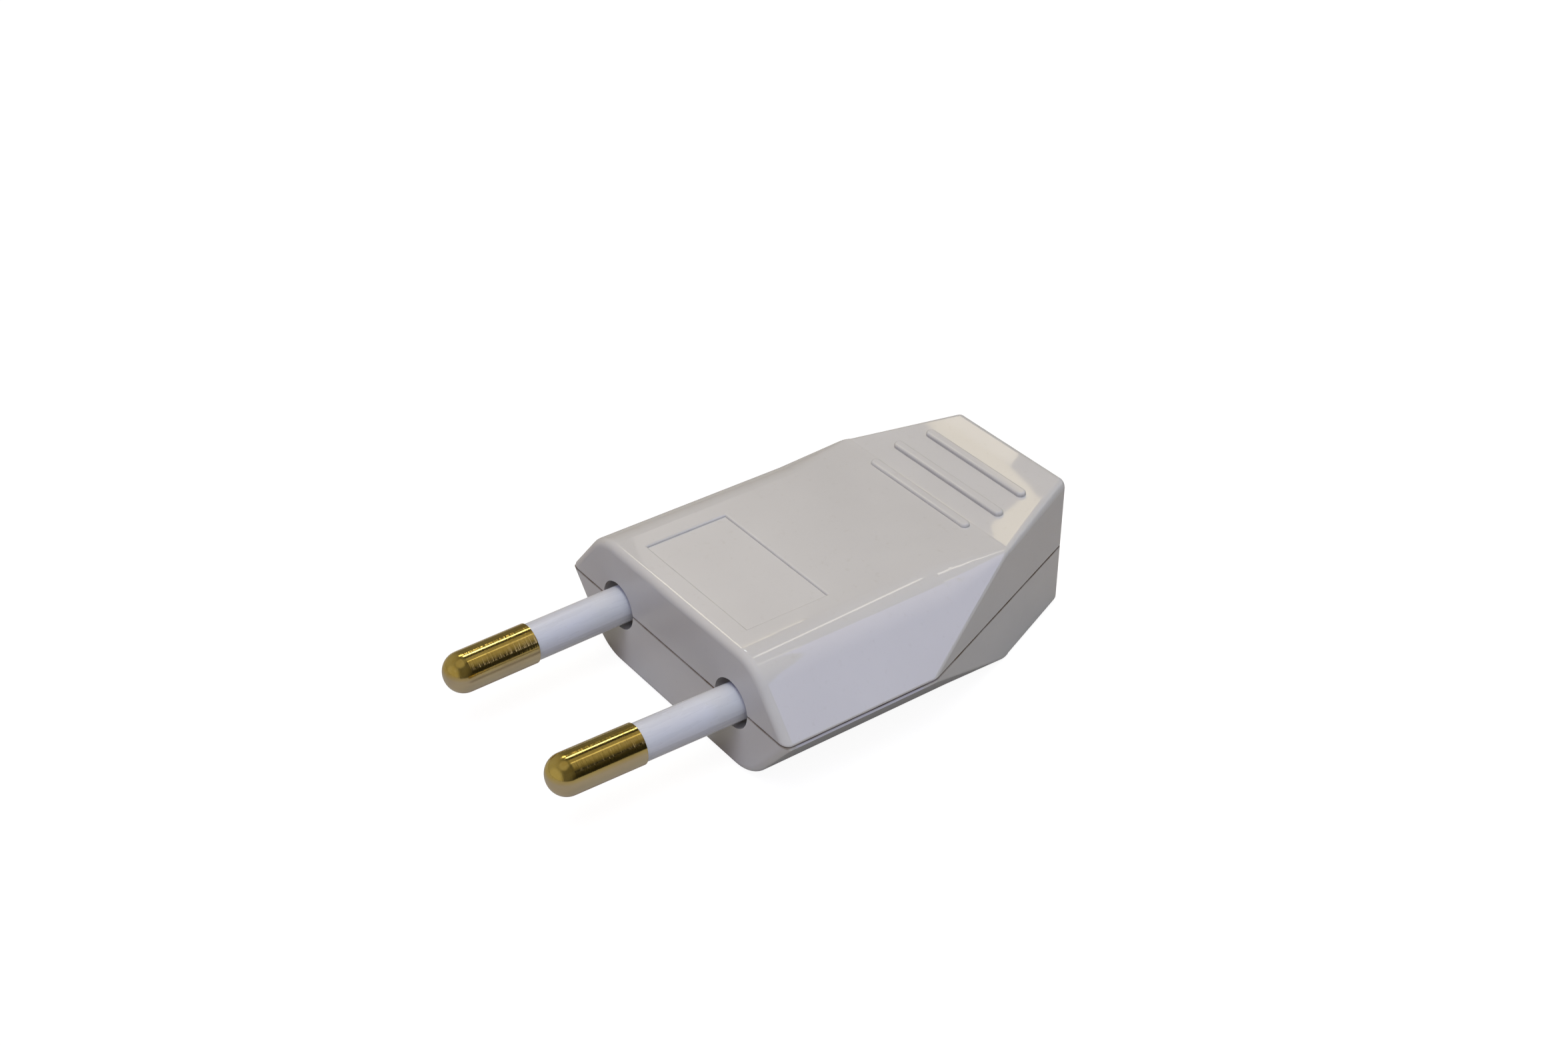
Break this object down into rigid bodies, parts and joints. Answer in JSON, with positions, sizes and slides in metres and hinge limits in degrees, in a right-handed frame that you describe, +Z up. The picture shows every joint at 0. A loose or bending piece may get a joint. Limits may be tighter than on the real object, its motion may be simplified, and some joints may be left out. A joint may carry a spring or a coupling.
{
  "type": "europlug",
  "caption": "Flat two-pin mains plug with a tapered two-shell housing, finger ribs, half-sleeved round pins and a screwed cord clamp inside.",
  "frame": {"origin": "middle of the front engagement face, on the parting plane of the two shells", "axes": "+X across the two pins, +Y towards the cord end, +Z up through the ribbed upper shell; the pins point along -Y"},
  "size_m": [0.0352, 0.06, 0.0147],
  "materials": {
    "housing": "white moulded plastic, glossy",
    "pin_sleeve": "cool white insulating tube, semi-gloss",
    "brass": "turned and polished brass",
    "screw_steel": "plain zinc-plated screws",
    "clamp": "plain moulded insulating bar"
  },
  "bodies": {
    "root": {"upper_shell": "housing", "lower_shell": "housing", "left_pin": "brass", "right_pin": "brass", "left_pin_sleeve": "pin_sleeve", "right_pin_sleeve": "pin_sleeve", "terminal_screws": "screw_steel", "cord_clamp": "clamp", "cord_clamp_screws": "screw_steel", "housing_screw": "screw_steel"}
  },
  "joints": []
}
